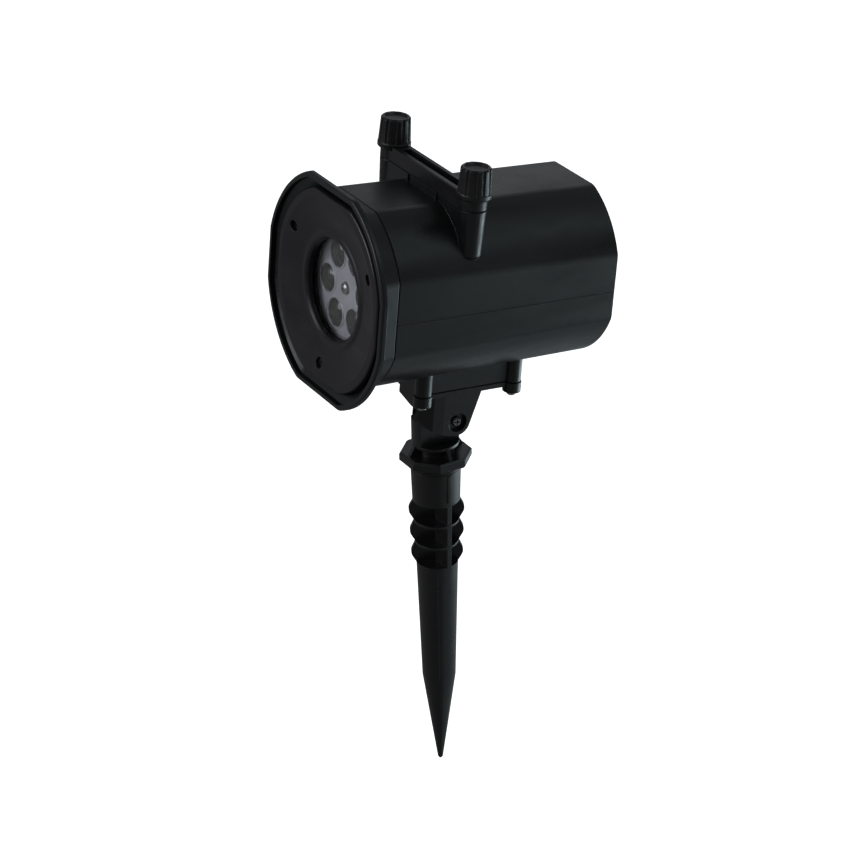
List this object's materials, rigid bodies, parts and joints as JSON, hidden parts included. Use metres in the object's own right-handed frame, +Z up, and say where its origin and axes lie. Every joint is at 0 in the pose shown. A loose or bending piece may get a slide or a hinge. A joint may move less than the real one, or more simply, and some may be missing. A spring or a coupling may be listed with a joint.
{
  "type": "light projector stake",
  "caption": "Garden light projector: barrel housing with a hooded lens window, lift-out slide cover with two knobs, tilting bracket and a ribbed ground spike.",
  "frame": {"origin": "on the stake's axis at soil level, where the ribbed neck meets the round spike", "axes": "+Z up along the stake, -Y the way the projector looks, +X to its left as it looks forwards"},
  "size_m": [0.1164, 0.1589, 0.3632],
  "materials": {
    "stake_plastic": "satin moulded",
    "bracket_plastic": "satin moulded",
    "shell_plastic": "satin moulded",
    "plate_plastic": "satin",
    "cover_plastic": "satin moulded",
    "knob_plastic": "satin moulded",
    "inner_plastic": "moulded",
    "slide_plastic": "moulded",
    "disc_plastic": "satin silver",
    "lens_glass": "polished",
    "window_glass": "polished",
    "seal_rubber": "matt",
    "screw_steel": "zinc plated",
    "motor_steel": "plated",
    "dark_screw": "black plated",
    "washer_plastic": "acetal",
    "insert_brass": "turned",
    "film": "printed film",
    "circuit_board": "lacquered",
    "led_lens": "silicone dome",
    "sink_aluminium": "as extruded",
    "transformer": "varnished laminations",
    "capacitor_sleeve": "shrink sleeve",
    "gland_plastic": "moulded"
  },
  "bodies": {
    "stake": {"ground_stake": "stake_plastic"},
    "post": {"swivel_post": "stake_plastic"},
    "head": {"mount_bracket": "bracket_plastic", "bracket_screws": "screw_steel", "pivot_bolt": "screw_steel", "pivot_nut": "screw_steel", "pivot_washers": "washer_plastic", "barrel_housing": "shell_plastic", "front_hood": "shell_plastic", "front_plate": "plate_plastic", "front_plate_screws": "dark_screw", "window_seal": "seal_rubber", "window_glass": "window_glass", "window_retainer": "inner_plastic", "motor_bridge": "inner_plastic", "lens_motor": "motor_steel", "motor_screws": "screw_steel", "slide_guide": "inner_plastic", "condenser_holder": "inner_plastic", "condenser_lenses": "lens_glass", "optics_screws": "screw_steel", "led_board": "circuit_board", "leds": "led_lens", "heat_sink": "sink_aluminium", "heat_sink_screws": "screw_steel", "driver_board": "circuit_board", "driver_screws": "screw_steel", "driver_transformer": "transformer", "driver_capacitors": "capacitor_sleeve", "rear_cap": "shell_plastic", "rear_cap_seal": "seal_rubber", "rear_cap_screws": "screw_steel", "gland_body": "gland_plastic", "gland_seal": "seal_rubber", "gland_nut": "gland_plastic", "gland_locknut": "gland_plastic", "knob_inserts": "insert_brass"},
    "lens_rotor": {"lens_disc": "disc_plastic", "projection_lenses": "lens_glass", "lens_disc_screw": "screw_steel", "motor_shaft": "screw_steel"},
    "slide_cover": {"slot_cover": "cover_plastic", "slot_gasket": "seal_rubber"},
    "knob_left": {"knob_left": "knob_plastic", "knob_stud_left": "screw_steel"},
    "knob_right": {"knob_right": "knob_plastic", "knob_stud_right": "screw_steel"},
    "pattern_slide": {"slide_frame": "slide_plastic", "pattern_films": "film"}
  },
  "joints": [
    {"name": "post_swivel", "type": "hinge", "parent": "stake", "child": "post", "pos_m": [0, 0, 0.05], "axis": [0, 0, 1], "range_deg": [-180, 180]},
    {"name": "head_tilt", "type": "hinge", "parent": "post", "child": "head", "pos_m": [0, 0.0064, 0.0855], "axis": [-1, 0, 0], "range_deg": [-40, 75]},
    {"name": "lens_spin", "type": "hinge", "parent": "head", "child": "lens_rotor", "pos_m": [0, -0.04735, 0.17047], "axis": [0, 0.9947, -0.1028], "continuous": true},
    {"name": "cover_lift", "type": "slide", "parent": "head", "child": "slide_cover", "axis": [0, 0.1028, 0.9947], "range_m": [0, 0.12]},
    {"name": "pattern_lift", "type": "slide", "parent": "head", "child": "pattern_slide", "axis": [0, 0.1028, 0.9947], "range_m": [0, 0.1]},
    {"name": "knob_left_turn", "type": "hinge", "parent": "slide_cover", "child": "knob_left", "pos_m": [-0.0391, 0.00169, 0.22573], "axis": [0, 0.1028, 0.9947], "continuous": true},
    {"name": "knob_right_turn", "type": "hinge", "parent": "slide_cover", "child": "knob_right", "pos_m": [0.0391, 0.00169, 0.22573], "axis": [0, 0.1028, 0.9947], "continuous": true}
  ],
  "couplings": [
    {"joint": "pattern_lift", "follows": "cover_lift", "ratio": 0.8}
  ]
}
